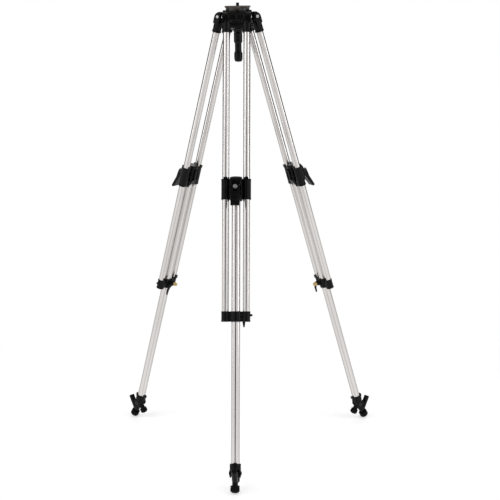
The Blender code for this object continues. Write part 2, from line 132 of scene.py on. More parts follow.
def bar(radius, low, high, axis="z", at=(0, 0), edge=0.0, endRadius=None, steps=64):
    # round bar along an axis; at is its place across that axis
    last = radius if endRadius is None else endRadius
    profile = [(0, low), (radius, low), (last, high), (0, high)]
    obj = lathe(softCorners(profile, edge) if edge else profile, steps)
    spots = {"z": (at[0], at[1], 0), "x": (0, at[0], at[1]), "y": (at[0], 0, at[1])}
    obj.data.transform(Matrix.Translation(spots[axis]) @ axisTurns[axis])
    return obj


def arm(start, end, radius, endRadius=None, edge=2.0):
    # round arm between two (x, z) points of the leg's middle plane
    run = Vector((end[0] - start[0], 0, end[1] - start[1]))
    obj = bar(radius, 0, run.length, edge=edge, endRadius=endRadius, steps=48)
    turn = run.to_track_quat("Z", "Y").to_matrix().to_4x4()
    obj.data.transform(Matrix.Translation((start[0], 0, start[1])) @ turn)
    return obj


def softenEdges(bm, width):
    edges = [e for e in bm.edges if e.calc_face_angle(0) > radians(20)]
    bmesh.ops.bevel(bm, geom=edges, offset=width, segments=3, profile=0.5, affect="EDGES", clamp_overlap=True)


def block(low, high, edge=0.0):
    bm = bmesh.new()
    bmesh.ops.create_cube(bm, size=1)
    bmesh.ops.scale(bm, verts=bm.verts, vec=[b - a for a, b in zip(low, high)])
    bmesh.ops.translate(bm, verts=bm.verts, vec=[(a + b) / 2 for a, b in zip(low, high)])
    if edge:
        softenEdges(bm, edge)
    return meshObject(bm)


def slab(outline, low, high, edge=0.0):
    # flat (x, z) outline, as thick as low to high along y
    bm = bmesh.new()
    face = bm.faces.new([bm.verts.new((x, low, z)) for x, z in outline])
    grown = bmesh.ops.extrude_face_region(bm, geom=[face])
    moved = [v for v in grown["geom"] if isinstance(v, bmesh.types.BMVert)]
    bmesh.ops.translate(bm, verts=moved, vec=(0, high - low, 0))
    bmesh.ops.recalc_face_normals(bm, faces=bm.faces)
    if edge:
        softenEdges(bm, edge)
    return meshObject(bm)


def applied(obj):
    graph = bpy.context.evaluated_depsgraph_get()
    mesh = bpy.data.meshes.new_from_object(obj.evaluated_get(graph))
    bpy.data.objects.remove(obj, do_unlink=True)
    made = bpy.data.objects.new("shape", mesh)
    bpy.context.scene.collection.objects.link(made)
    return made


def combine(base, tools, operation):
    for tool in tools:
        step = base.modifiers.new("step", "BOOLEAN")
        step.operation = operation
        step.solver = "MANIFOLD"
        step.object = tool
    result = applied(base)
    for tool in tools:
        bpy.data.objects.remove(tool, do_unlink=True)
    return result


def joinMeshes(meshes):
    # puts several closed shells in one mesh
    bm = bmesh.new()
    for mesh in meshes:
        bm.from_mesh(mesh)
    joined = bpy.data.meshes.new("joined")
    bm.to_mesh(joined)
    bm.free()
    return joined


def casting(solids, hollows=(), voxel=0.6, keep=0.25, smoothing=5):
    # one cast piece: solids joined, hollows cut, every edge and corner softened as in a mould
    body = combine(solids[0], solids[1:], "UNION")
    if hollows:
        body = combine(body, list(hollows), "DIFFERENCE")
    remesh = body.modifiers.new("cast", "REMESH")
    remesh.mode = "VOXEL"
    remesh.voxel_size = voxel
    smooth = body.modifiers.new("soften", "SMOOTH")
    smooth.factor = 0.5
    smooth.iterations = smoothing
    thin = body.modifiers.new("thin", "DECIMATE")
    thin.ratio = keep
    return takeMesh(applied(body))


def addNode(tree, kind, **values):
    node = tree.nodes.new(kind)
    for name, value in values.items():
        setattr(node, name, value)
    return node


def ringTree():
    # copies of a small object round a circle, each turned to face outward
    tree = bpy.data.node_groups.new("ringOfCopies", "GeometryNodeTree")
    sockets = [("Piece", "NodeSocketObject"), ("Count", "NodeSocketInt"), ("Radius", "NodeSocketFloat"),
               ("Finish", "NodeSocketMaterial")]
    for name, kind in sockets:
        tree.interface.new_socket(name, in_out="INPUT", socket_type=kind)
    tree.interface.new_socket("Geometry", in_out="OUTPUT", socket_type="NodeSocketGeometry")
    given = addNode(tree, "NodeGroupInput")
    circle = addNode(tree, "GeometryNodeMeshCircle")
    source = addNode(tree, "GeometryNodeObjectInfo")
    index = addNode(tree, "GeometryNodeInputIndex")
    share = addNode(tree, "ShaderNodeMath", operation="DIVIDE")
    angle = addNode(tree, "ShaderNodeMath", operation="MULTIPLY")
    angle.inputs[1].default_value = 2 * pi
    vector = addNode(tree, "ShaderNodeCombineXYZ")
    turn = addNode(tree, "FunctionNodeEulerToRotation")
    copies = addNode(tree, "GeometryNodeInstanceOnPoints")
    solid = addNode(tree, "GeometryNodeRealizeInstances")
    finish = addNode(tree, "GeometryNodeSetMaterial")
    out = addNode(tree, "NodeGroupOutput")
    link = tree.links.new
    link(given.outputs["Count"], circle.inputs["Vertices"])
    link(given.outputs["Radius"], circle.inputs["Radius"])
    link(given.outputs["Piece"], source.inputs["Object"])
    link(index.outputs[0], share.inputs[0])
    link(given.outputs["Count"], share.inputs[1])
    link(share.outputs[0], angle.inputs[0])
    link(angle.outputs[0], vector.inputs["Z"])
    link(vector.outputs[0], turn.inputs[0])
    link(circle.outputs["Mesh"], copies.inputs["Points"])
    link(source.outputs["Geometry"], copies.inputs["Instance"])
    link(turn.outputs[0], copies.inputs["Rotation"])
    link(copies.outputs[0], solid.inputs[0])
    link(solid.outputs[0], finish.inputs["Geometry"])
    link(given.outputs["Finish"], finish.inputs["Material"])
    link(finish.outputs[0], out.inputs[0])
    return tree


copiesRound = ringTree()


def ringOf(piece, count, radius, finish):
    # a mesh of copies of piece round the z axis
    holder = bpy.data.objects.new("ring", bpy.data.meshes.new("ring"))
    bpy.context.scene.collection.objects.link(holder)
    step = holder.modifiers.new("ring", "NODES")
    step.node_group = copiesRound
    given = {"Piece": piece, "Count": count, "Radius": radius, "Finish": finish}
    for socket in copiesRound.interface.items_tree:
        if socket.in_out == "INPUT":
            step[socket.identifier] = given[socket.name]
    mesh = takeMesh(applied(holder))
    bpy.data.objects.remove(piece, do_unlink=True)
    return mesh


def ridge(width, depth, length, height):
    # rounded upright ridge, long in z, for grips and knurls
    bm = bmesh.new()
    bmesh.ops.create_uvsphere(bm, u_segments=10, v_segments=8, radius=0.5)
    for vert in bm.verts:
        reach = abs(vert.co.z) * 2
        vert.co.z = (1 if vert.co.z > 0 else -1) * 0.5 * min(1.0, reach ** 0.35) if reach > 0.001 else 0.0
    bmesh.ops.scale(bm, verts=bm.verts, vec=(depth, width, length))
    bmesh.ops.translate(bm, verts=bm.verts, vec=(0, 0, height))
    return meshObject(bm)


def newMaterial(name, metallic):
    material = bpy.data.materials.new(name)
    material.use_nodes = True
    shader = material.node_tree.nodes["Principled BSDF"]
    shader.inputs["Metallic"].default_value = metallic
    return material, material.node_tree, shader


def placedCoordinates(tree, stretch=(1, 1, 1), turn=(0, 0, 0)):
    where = addNode(tree, "ShaderNodeTexCoord")
    mapping = addNode(tree, "ShaderNodeMapping", vector_type="TEXTURE")
    mapping.inputs["Rotation"].default_value = turn
    mapping.inputs["Scale"].default_value = stretch
    tree.links.new(where.outputs["Object"], mapping.inputs["Vector"])
    return mapping.outputs["Vector"]


def noise(tree, vector, scale, detail=3.0):
    node = addNode(tree, "ShaderNodeTexNoise")
    node.inputs["Scale"].default_value = scale
    node.inputs["Detail"].default_value = detail
    tree.links.new(vector, node.inputs["Vector"])
    return node.outputs["Fac"]


def ramp(tree, value, stops):
    node = addNode(tree, "ShaderNodeValToRGB")
    marks = node.color_ramp.elements
    for _ in range(len(stops) - 2):
        marks.new(0.5)
    for mark, (place, colour) in zip(marks, stops):
        mark.position = place
        mark.color = (*colour, 1.0)
    tree.links.new(value, node.inputs["Fac"])
    return node.outputs["Color"]


def spread(tree, value, low, high, fromLow=0.3, fromHigh=0.7):
    node = addNode(tree, "ShaderNodeMapRange")
    for name, number in (("From Min", fromLow), ("From Max", fromHigh), ("To Min", low), ("To Max", high)):
        node.inputs[name].default_value = number
    tree.links.new(value, node.inputs["Value"])
    return node.outputs["Result"]


def blendColours(tree, factor, first, second):
    node = addNode(tree, "ShaderNodeMix", data_type="RGBA")
    tree.links.new(factor, node.inputs[0])
    tree.links.new(first, node.inputs[6])
    node.inputs[7].default_value = (*second, 1.0)
    return node.outputs[2]


def addBump(tree, shader, height, strength, distance):
    node = addNode(tree, "ShaderNodeBump")
    node.inputs["Strength"].default_value = strength
    node.inputs["Distance"].default_value = distance
    tree.links.new(height, node.inputs["Height"])
    tree.links.new(node.outputs["Normal"], shader.inputs["Normal"])


def paintedCasting(name, settings):
    # satin powder coat: faint orange peel, cloudy sheen, and a little bare metal on worn edges
    material, tree, shader = newMaterial(name, 0.0)
    where = placedCoordinates(tree)
    cloud = noise(tree, where, settings["cloudScale"])
    peel = noise(tree, where, settings["peelScale"], 2.0)
    base = ramp(tree, cloud, [(0.3, settings["dark"]), (0.7, settings["light"])])
    shape = addNode(tree, "ShaderNodeNewGeometry")
    worn = spread(tree, shape.outputs["Pointiness"], 0.0, settings["wear"], 0.53, 0.60)
    speckle = addNode(tree, "ShaderNodeMath", operation="MULTIPLY")
    tree.links.new(worn, speckle.inputs[0])
    tree.links.new(noise(tree, where, settings["wearScale"], 4.0), speckle.inputs[1])
    colour = blendColours(tree, speckle.outputs[0], base, settings["worn"])
    tree.links.new(colour, shader.inputs["Base Color"])
    tree.links.new(spread(tree, cloud, *settings["roughness"]), shader.inputs["Roughness"])
    addBump(tree, shader, peel, settings["bump"], 0.0004)
    shader.inputs["Specular IOR Level"].default_value = settings["specular"]
    return material


def drawnTube(name, settings, turn):
    # polished, clear anodised tube with faint lines along its length
    material, tree, shader = newMaterial(name, 1.0)
    lines = noise(tree, placedCoordinates(tree, settings["stretch"], turn), settings["lineScale"], 4.0)
    cloud = noise(tree, placedCoordinates(tree, (1, 1, 4), turn), settings["cloudScale"])
    colour = ramp(tree, cloud, [(0.25, settings["dark"]), (0.75, settings["light"])])
    tree.links.new(colour, shader.inputs["Base Color"])
    tree.links.new(spread(tree, lines, *settings["roughness"]), shader.inputs["Roughness"])
    addBump(tree, shader, lines, settings["bump"], 0.0001)
    return material


def seatWithPaintedSheen(name, settings):
    # black ball with a warm grey band painted round its flared flange as a painted reflection, broken into
    # patches
    material = paintedCasting(name, settings)
    tree = material.node_tree
    shader = tree.nodes["Principled BSDF"]
    where = addNode(tree, "ShaderNodeTexCoord")
    height = addNode(tree, "ShaderNodeSeparateXYZ")
    tree.links.new(where.outputs["Object"], height.inputs[0])
    # painted reflection: a warm grey band between two heights on the flange, mixed into the base colour in
    # patches
    low = joints["level_tilt"]["pos_m"][2]
    sheenZone = spread(tree, height.outputs["Z"], 0.0, 1.0, low + settings["wornFrom"], low + settings["wornTo"])
    sheenMask = addNode(tree, "ShaderNodeMath", operation="MULTIPLY")
    tree.links.new(sheenZone, sheenMask.inputs[0])
    sheenBlotches = noise(tree, placedCoordinates(tree), settings["patchScale"])
    tree.links.new(spread(tree, sheenBlotches, 0.35, 1.0), sheenMask.inputs[1])
    black = shader.inputs["Base Color"].links[0].from_socket
    colour = blendColours(tree, sheenMask.outputs[0], black, settings["warm"])
    tree.links.new(colour, shader.inputs["Base Color"])
    return material


def platedMetal(name, settings):
    # plated or turned metal with fine cloudy polish
    material, tree, shader = newMaterial(name, 1.0)
    where = placedCoordinates(tree)
    fine = noise(tree, where, settings["fineScale"], 4.0)
    cloud = noise(tree, where, settings["cloudScale"])
    colour = ramp(tree, cloud, [(0.3, settings["dark"]), (0.7, settings["light"])])
    tree.links.new(colour, shader.inputs["Base Color"])
    tree.links.new(spread(tree, fine, *settings["roughness"]), shader.inputs["Roughness"])
    addBump(tree, shader, fine, settings["bump"], 0.0001)
    return material


def mouldedPlastic(name, settings):
    # moulded plastic or rubber: fine grain, dusty variation in the sheen
    material, tree, shader = newMaterial(name, 0.0)
    where = placedCoordinates(tree)
    grain = noise(tree, where, settings["grainScale"], 3.0)
    dust = noise(tree, where, settings["dustScale"], 5.0)
    colour = ramp(tree, dust, [(0.35, settings["dark"]), (0.75, settings["light"])])
    tree.links.new(colour, shader.inputs["Base Color"])
    tree.links.new(spread(tree, dust, *settings["roughness"]), shader.inputs["Roughness"])
    addBump(tree, shader, grain, settings["bump"], 0.0003)
    shader.inputs["Specular IOR Level"].default_value = settings["specular"]
    return material


def corkPad(name, settings):
    # bonded cork: small granules of several browns pressed flat
    material, tree, shader = newMaterial(name, 0.0)
    where = placedCoordinates(tree)
    cells = addNode(tree, "ShaderNodeTexVoronoi")
    cells.inputs["Scale"].default_value = settings["granuleScale"]
    tree.links.new(where, cells.inputs["Vector"])
    shade = addNode(tree, "ShaderNodeSeparateColor")
    tree.links.new(cells.outputs["Color"], shade.inputs[0])
    colour = ramp(tree, shade.outputs[0], settings["colours"])
    tree.links.new(colour, shader.inputs["Base Color"])
    shader.inputs["Roughness"].default_value = settings["roughness"]
    addBump(tree, shader, cells.outputs["Distance"], settings["bump"], 0.0003)
    return material


castingPaint = paintedCasting("castingPaint", {
    "dark": (0.0026, 0.0025, 0.0026), "light": (0.0052, 0.0050, 0.0050), "worn": (0.16, 0.16, 0.165),
    "wear": 0.45, "cloudScale": 55, "peelScale": 1100, "wearScale": 240, "roughness": (0.17, 0.25),
    "bump": 0.08, "specular": 0.15})
# the last keys set the height band, patch size and colour of the flange's painted warm reflection
ballPaint = seatWithPaintedSheen("ballPaint", {
    "dark": (0.0030, 0.0029, 0.0029), "light": (0.0060, 0.0057, 0.0056), "worn": (0.16, 0.15, 0.14),
    "wear": 0.5, "cloudScale": 55, "peelScale": 1100, "wearScale": 240, "roughness": (0.24, 0.34),
    "bump": 0.1, "specular": 0.5, "wornFrom": 0.0035, "wornTo": 0.0060, "patchScale": 45,
    "warm": (0.150, 0.122, 0.104)})
gripPlastic = mouldedPlastic("gripPlastic", {
    "dark": (0.0030, 0.0030, 0.0034), "light": (0.0060, 0.0058, 0.0062), "grainScale": 900, "dustScale": 90,
    "roughness": (0.18, 0.27), "bump": 0.1, "specular": 0.16})
capRubber = mouldedPlastic("capRubber", {
    "dark": (0.0032, 0.0031, 0.0031), "light": (0.0075, 0.0071, 0.0068), "grainScale": 1400, "dustScale": 70,
    "roughness": (0.40, 0.52), "bump": 0.2, "specular": 0.07})
linerNylon = mouldedPlastic("linerNylon", {
    "dark": (0.52, 0.52, 0.48), "light": (0.62, 0.62, 0.57), "grainScale": 700, "dustScale": 60,
    "roughness": (0.45, 0.6), "bump": 0.1, "specular": 0.5})
platedSteel = platedMetal("platedSteel", {
    "dark": (0.46, 0.46, 0.46), "light": (0.64, 0.64, 0.64), "fineScale": 1500, "cloudScale": 120,
    "roughness": (0.20, 0.34), "bump": 0.08})
blackSteel = platedMetal("blackSteel", {
    "dark": (0.030, 0.030, 0.032), "light": (0.060, 0.060, 0.064), "fineScale": 1200, "cloudScale": 160,
    "roughness": (0.28, 0.42), "bump": 0.12})
turnedBrass = platedMetal("turnedBrass", {
    "dark": (0.56, 0.38, 0.15), "light": (0.78, 0.58, 0.28), "fineScale": 1300, "cloudScale": 150,
    "roughness": (0.20, 0.36), "bump": 0.12})
padCork = corkPad("padCork", {
    "granuleScale": 620, "roughness": 0.88, "bump": 0.35,
    "colours": [(0.0, (0.085, 0.066, 0.052)), (0.35, (0.135, 0.112, 0.095)), (0.7, (0.185, 0.160, 0.142)),
                (1.0, (0.240, 0.215, 0.195))]})
tubeSettings = {
    "dark": (0.70, 0.68, 0.67), "light": (0.80, 0.775, 0.765), "stretch": (1, 1, 160), "lineScale": 700,
    "cloudScale": 12, "roughness": (0.20, 0.25), "bump": 0.002}
tubeMetal = {leg: drawnTube(leg + "Tube", tubeSettings, legPlaces[leg].to_euler()) for leg in legNames}
print("materials made")


def addPiece(name, mesh, place, material, body, replaced, sharp=35):
    final = mesh.copy()
    final.transform(place)
    final.name = name
    final.materials.clear()
    final.materials.append(material)
    final.shade_smooth()
    if sharp:
        final.set_sharp_from_angle(angle=radians(sharp))
    piece = bpy.data.objects.new(name, final)
    bpy.context.scene.collection.objects.link(piece)
    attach(piece, body)
    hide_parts(*replaced)


crownSizes = {"rimRadius": 40, "ballRadius": 43, "hollowRadius": 37.6, "holeRadius": 14.5, "seatRadius": 37.8,
              "seatDepth": 12.0, "earHalf": 23.5, "stopHalf": 16, "webHalf": 6, "pinBore": 4.4}


def crownMesh(sizes):
    wide = sizes["rimRadius"]
    rim = sqrt(sizes["ballRadius"] ** 2 - wide ** 2)
    floor = sqrt(sizes["ballRadius"] ** 2 - sizes["holeRadius"] ** 2)
    outside = [(10, 0), (wide - 1, 0), (wide, -1), (wide, -3.5), (wide - 0.8, -4.3), (wide - 0.8, -rim)]
    bowl = lathe(outside + ballArc(sizes["ballRadius"], -rim - 0.6, -floor) + [(10, -floor)], 128)
    solids, hollows = [bowl], []
    ear = [(11, -13.4), (13.5, 2), (8, 11), (-6, 15.5), (-13, 14), (-13, -5.5), (-5.5, -12.4)]
    web = [(36, -13), (45.5, -13), (47, -8), (46, -2), (43.5, 2), (41.8, 2), (41.4, -1), (36, -1.5)]
    stop = [(8, -21.2), (11, -10), (-8, -10), (-6, -19.5), (0, -21.2)]
    panel = [(13.4, -9.5), (15.0, 1.0), (9.6, 8.6), (9.0, 7.2), (12.6, 1.2), (11.2, -9.5)]
    half = sizes["earHalf"]
    for leg in legNames:
        turn = headPlace.inverted() @ legPlaces[leg]
        parts = [slab(softCorners(ear, 2.5, True), -half, half),
                 slab(softCorners(stop, 1.5, True), -sizes["stopHalf"], sizes["stopHalf"])]
        cuts = [slab(panel, low, high) for low, high in ((-20, -1.2), (1.2, 20))]
        cuts.append(bar(sizes["pinBore"], -30, 30, "y"))
        for part in parts + cuts:
            part.data.transform(turn)
        outward = turn.to_3x3() @ Vector((1, 0, 0))
        corner = slab(softCorners(web, 2, True), -sizes["webHalf"], sizes["webHalf"], 1.0)
        corner.data.transform(Matrix.Rotation(atan2(outward.y, outward.x) + pi / 3, 4, "Z"))
        solids += parts + [corner]
        hollows += cuts
    bottom = sqrt(sizes["hollowRadius"] ** 2 - sizes["holeRadius"] ** 2)
    hollow = [(0, 20), (sizes["seatRadius"], 20), (sizes["seatRadius"], -sizes["seatDepth"])]
    hollow += ballArc(sizes["hollowRadius"], -sizes["seatDepth"], -bottom)
    hollow += [(sizes["holeRadius"], -60), (0, -60)]
    hollows.append(lathe(hollow, 128))
    return casting(solids, hollows, voxel=0.7, keep=0.3)


ballSizes = {"radius": 34.7, "flangeRadius": 38.2, "flangeTop": 12, "flareAngle": 10.3, "skirt": -28.0,
             "wall": 4.5, "studHole": 5.05, "rodHole": 4.3, "bossRadius": 10, "bossLow": -16}


def ballMesh(sizes):
    flareHeight = sizes["radius"] * sin(radians(sizes["flareAngle"]))
    inner, top, flange = sizes["radius"] - sizes["wall"], sizes["flangeTop"], sizes["flangeRadius"]
    studHole, rodHole, boss, low = sizes["studHole"], sizes["rodHole"], sizes["bossRadius"], sizes["bossLow"]
    rim = [(studHole, top), (flange, top), (flange, top - 1.6), (flange - 0.7, top - 2.4),
           (flange - 1.6, top - 3.6)]
    outside = ballArc(sizes["radius"], flareHeight, sizes["skirt"])
    inside = ballArc(inner, sizes["skirt"], 0) + [(inner, 4), (boss, 4), (boss - 1, low), (rodHole, low)]
    inside += [(rodHole, 3), (studHole, 3)]
    return takeMesh(lathe(softCorners(rim + outside + inside, 0.5), 128))


padSizes = {"low": 12.3, "top": 13.3, "radius": 36.8, "hole": 5.75, "grooves": [12, 20, 28],
            "grooveWidth": 0.9, "grooveDepth": 0.4}


def padMesh(sizes):
    top, floor, half = sizes["top"], sizes["top"] - sizes["grooveDepth"], sizes["grooveWidth"] / 2
    profile = [(sizes["hole"], sizes["low"]), (sizes["radius"], sizes["low"]), (sizes["radius"], top)]
    for radius in reversed(sizes["grooves"]):
        profile += [(radius + half, top), (radius + half / 2, floor), (radius - half / 2, floor),
                    (radius - half, top)]
    profile.append((sizes["hole"], top))
    return takeMesh(lathe(softCorners(profile, 0.3, True, 3), 128))


def threaded(radius, low, high, pitch, depth, tip):
    # bar with thread ridges and a chamfered tip at the high end
    profile = [(0, low), (radius, low)]
    turns = int((high - low - tip) / pitch)
    for k in range(turns):
        z = low + 0.4 + k * pitch
        profile += [(radius, z), (radius - depth, z + pitch * 0.4)]
        profile += [(radius - depth, z + pitch * 0.55), (radius, z + pitch * 0.95)]
    profile += [(radius, high - tip), (radius - tip * 0.9, high), (0, high)]
    return takeMesh(lathe(profile, 48))


cupSizes = {"seatRadius": 43.4, "rodHole": 4.3, "rim": -37.6, "bottom": -61}


def cupMesh(sizes):
    seat, hole, bottom = sizes["seatRadius"], sizes["rodHole"], sizes["bottom"]
    inside = ballArc(seat, -sqrt(seat ** 2 - hole ** 2), sizes["rim"])
    outside = [(24.2, -39), (24.6, -42), (23.2, -47.5), (19.5, -53), (14.8, -57.2), (13.2, -59), (13, bottom),
               (hole, bottom)]
    return takeMesh(lathe(inside + softCorners(outside, 2.2), 96))


handleSizes = {"gripRadius": 12.1, "neckRadius": 9.6, "knobRadius": 12.0, "rodHole": 4.3, "ribCount": 16,
               "ribDepth": 0.8, "ribWidth": 1.5, "gripRibLength": 17.0, "knobRibLength": 17.5}


def gripMesh(sizes, finish):
    radius, neck, hole = sizes["gripRadius"], sizes["neckRadius"], sizes["rodHole"]
    profile = [(hole, -61.3), (radius - 0.6, -61.3), (radius, -63), (radius, -64.4), (radius + 0.5, -64.8),
               (radius + 0.5, -66.4), (radius, -66.8), (radius, -84.6), (radius + 0.5, -85.2),
               (radius + 0.5, -88.2), (radius - 0.5, -90.8), (neck + 0.5, -92.6), (neck, -96), (neck, -113),
               (neck + 0.5, -116.2), (neck + 0.5, -117.8), (hole, -117.8)]
    body = takeMesh(lathe(softCorners(profile, 0.8, True), 96))
    rib = ridge(sizes["ribWidth"], sizes["ribDepth"], sizes["gripRibLength"], -75.7)
    return joinMeshes([body, ringOf(rib, sizes["ribCount"], radius - 0.1, finish)])


def knobMesh(sizes, finish):
    radius, hole = sizes["knobRadius"], sizes["rodHole"]
    profile = [(0, -131), (hole, -131), (hole, -118.1), (10.6, -118.1), (radius - 0.1, -120.6),
               (radius, -139), (10.9, -143.8), (7.5, -146.5), (3.2, -147), (0, -147)]
    body = takeMesh(lathe(softCorners(profile, 1.6), 96))
    rib = ridge(sizes["ribWidth"], sizes["ribDepth"], sizes["knobRibLength"], -130.2)
    return joinMeshes([body, ringOf(rib, sizes["ribCount"], radius - 0.1, finish)])


def buildHead():
    addPiece("crownCasting", crownMesh(crownSizes), headPlace, castingPaint, "head",
             ["crown"], 0)
    addPiece("levelBall", ballMesh(ballSizes), headPlace, ballPaint, "levelling_ball",
             ["half_ball"])
    addPiece("seatPad", padMesh(padSizes), headPlace, padCork, "levelling_ball", ["top_pad"])
    stud = threaded(4.75, 3.5, 22.5, 1.5875, 0.55, 1.2)
    addPiece("seatStud", stud, headPlace, blackSteel, "levelling_ball", ["mounting_stud"])
    rod = threaded(4.0, -129, 2.5, 2.0, 0.4, 1.0)
    addPiece("clampRod", rod, headPlace, blackSteel, "levelling_ball", ["draw_rod"])
    addPiece("clampCup", cupMesh(cupSizes), headPlace, castingPaint, "levelling_ball",
             ["clamp_cup"])
    addPiece("handleGrip", gripMesh(handleSizes, gripPlastic), headPlace, gripPlastic, "handle",
             ["handle_grip"])
    addPiece("handleKnob", knobMesh(handleSizes, gripPlastic), headPlace, gripPlastic, "handle",
             ["handle_knob"])
    liner = frame["nodes"]["bowl_liner"]
    for slot in liner.material_slots:
        slot.material = linerNylon


railSizes = {"radius": 10, "half": 29.5, "top": -16.5, "bottom": -868, "wall": 1.5}
tubeSizes = {"radius": 12.5, "top": -478.3, "bottom": -1276.2, "wall": 1.5}


def tubeMesh(sizes, offset=0):
    radius, inner = sizes["radius"], sizes["radius"] - sizes["wall"]
    loop = [(radius, sizes["bottom"]), (radius, sizes["top"]), (inner, sizes["top"]),
            (inner, sizes["bottom"])]
    obj = lathe(softCorners(loop, 0.5, True, 3), 96)
    obj.data.transform(Matrix.Translation((0, offset, 0)))
    return takeMesh(obj)


def sideBars(radius, low, high, edge=0.0, x=0):
    return [bar(radius, low, high, at=(x, side * railSizes["half"]), edge=edge) for side in (-1, 1)]


shoulderSizes = {"earInside": 24, "earOutside": 41, "socketRadius": 12.6, "lipRadius": 13.4, "railBore": 10.5,
                 "pinBore": 4.4, "bossRadius": 8.2}


def shoulderMesh(s):
    armShape = [(-7, -22), (-7, 11), (-3, 15), (1, 14.6), (9, 7.5), (12, 1), (12, -22)]
    inset = [(-3.5, -12), (-3.5, 6.5), (-1, 10.5), (1, 10.5), (6.5, 5.5), (8.5, 1), (8.5, -12)]
    inside, outside = s["earInside"], s["earOutside"]
    solids = sideBars(s["socketRadius"], -44, -14, 1.0) + sideBars(s["lipRadius"], -46, -41.5, 0.8)
    solids.append(block((-6, -20, -34), (8, 20, -21.5), 1.2))
    for x in (-6.6, 8.6):
        solids.append(block((x - 0.9, -19, -29.6), (x + 0.9, 19, -26.4), 0.6))
    hollows = sideBars(s["railBore"], -50, -16.2)
    for side in (-1, 1):
        inner, outer = sorted((side * inside, side * outside))
        solids.append(slab(softCorners(armShape, 4, True), inner, outer))
        boss = sorted((side * (outside - 1), side * (outside + 0.5)))
        solids.append(bar(s["bossRadius"], *boss, "y", edge=0.3))
        panel = slab(softCorners(inset, 2, True), *sorted((side * (outside - 0.9), side * (outside + 4))))
        hollows.append(combine(panel, [bar(8.8, -50, 50, "y")], "DIFFERENCE"))
        hollows.append(bar(2.2, *sorted((side * 29.0, side * 30)), "y"))
    hollows.append(bar(s["pinBore"], -50, 50, "y"))
    return casting(solids, hollows, voxel=0.6, keep=0.28)


def socketHead(radius, depth, socket, height):
    # domed screw head on z with a six-sided socket, face towards +z
    profile = [(0, -depth), (radius, -depth), (radius, height * 0.35), (radius * 0.86, height), (0, height)]
    head = lathe(softCorners(profile, 0.7), 48)
    return combine(head, [bar(socket, height * 0.25, height + 3, steps=6)], "DIFFERENCE")


hingePinSizes = {"radius": 4.0, "half": 42.5, "headAt": 42.0, "head": 4.6, "seat": 0.2, "dome": 1.6}
footPinSizes = {"radius": 4.0, "half": 16.5, "headAt": 16.0, "head": 5.8, "seat": 0.1, "dome": 1.9}


def pinMesh(s, height=0):
    # pin along the hinge direction with a socket head on both ends
    shaft = bar(s["radius"], -s["half"], s["half"], "y", edge=0.3, steps=48)
    heads = []
    for side in (-1, 1):
        head = socketHead(s["head"], s["seat"], 2.2, s["dome"])
        spot = Matrix.Translation((0, side * s["headAt"], 0))
        head.data.transform(spot @ Matrix.Rotation(-side * pi / 2, 4, "X"))
        heads.append(head)
    pin = takeMesh(combine(shaft, heads, "UNION"))
    pin.transform(Matrix.Translation((0, 0, height)))
    return pin


sliderSizes = {"top": -462.6, "bottom": -526.6, "leverX": 31, "leverZ": -493, "face": 23.5,
               "leverHalf": 12.8, "nose": 7.2, "leverBore": 3.3,
               "body": 17.5, "collar": 12.6, "lip": 13.0, "cheekHalf": 17.2, "railBore": 10.6,
               "tubeBore": 12.9, "boltBore": 4.6}


def sliderMesh(s):
    top, bottom, face, wide = s["top"], s["bottom"], s["face"], s["cheekHalf"]
    solids = [bar(s["body"], bottom - 4, top + 1, edge=3.0, steps=80)]
    solids += sideBars(s["collar"], bottom, top - 5, 1.0)
    solids += sideBars(s["lip"], top - 10, top - 5, 0.9) + sideBars(s["lip"], bottom, bottom + 5, 0.9)
    housing = [(0, top - 2), (face - 4, top - 2), (face, top - 9), (face, bottom + 10), (face - 8, bottom),
               (0, bottom)]
    solids.append(slab(softCorners(housing, 3, True), -wide, wide, 1.0))
    solids.append(block((-7, -25, bottom + 1), (7, 25, top - 6)))
    lip = [(8.5, top - 10), (13, top - 10), (13.6, top + 0.5), (11.2, top + 0.5), (9.2, top - 5)]
    for side in (-1, 1):
        for outline in (lip, [(-x, z) for x, z in reversed(lip)]):
            solids.append(slab(softCorners(outline, 0.8, True), *sorted((side * 24, side * 35)), 0.5))
    cheek = [(12, top - 3), (19, top - 4), (26, top - 12), (27.5, top - 24), (26, top - 40),
             (21, bottom + 10), (17, bottom + 3), (12, bottom + 2)]
    for side in (-1, 1):
        solids.append(slab(softCorners(cheek, 4, True), *sorted((side * (wide - 3.5), side * wide)), 0.6))
        solids.append(block((-14.5, side * 15 - 1.4, bottom + 3), (-4, side * 15 + 1.4, top - 3), 0.7))
    solids.append(block((-23, -9.5, bottom + 12), (0, 9.5, top - 10), 1.5))
    for z in (bottom + 14, (top + bottom) / 2, top - 14):
        solids.append(block((-12.5, -27, z - 1.5), (-3, 27, z + 1.5), 0.8))
    hollows = sideBars(s["railBore"], bottom - 10, top + 10)
    hollows.append(bar(s["tubeBore"], bottom - 10, tubeSizes["top"] + 0.3))
    hollows.append(bar(s["boltBore"], 15, 30, "x", at=(0, s["leverZ"])))
    hollows.append(block((-26, -6, bottom + 16), (-20.5, 6, top - 14), 1.0))
    corner = [(-60, bottom + 20), (-18, bottom + 20), (-9, bottom - 5), (-9, bottom - 30), (-60, bottom - 30)]
    hollows.append(slab(corner, -60, 60))
    return casting(solids, hollows, voxel=0.6, keep=0.25)


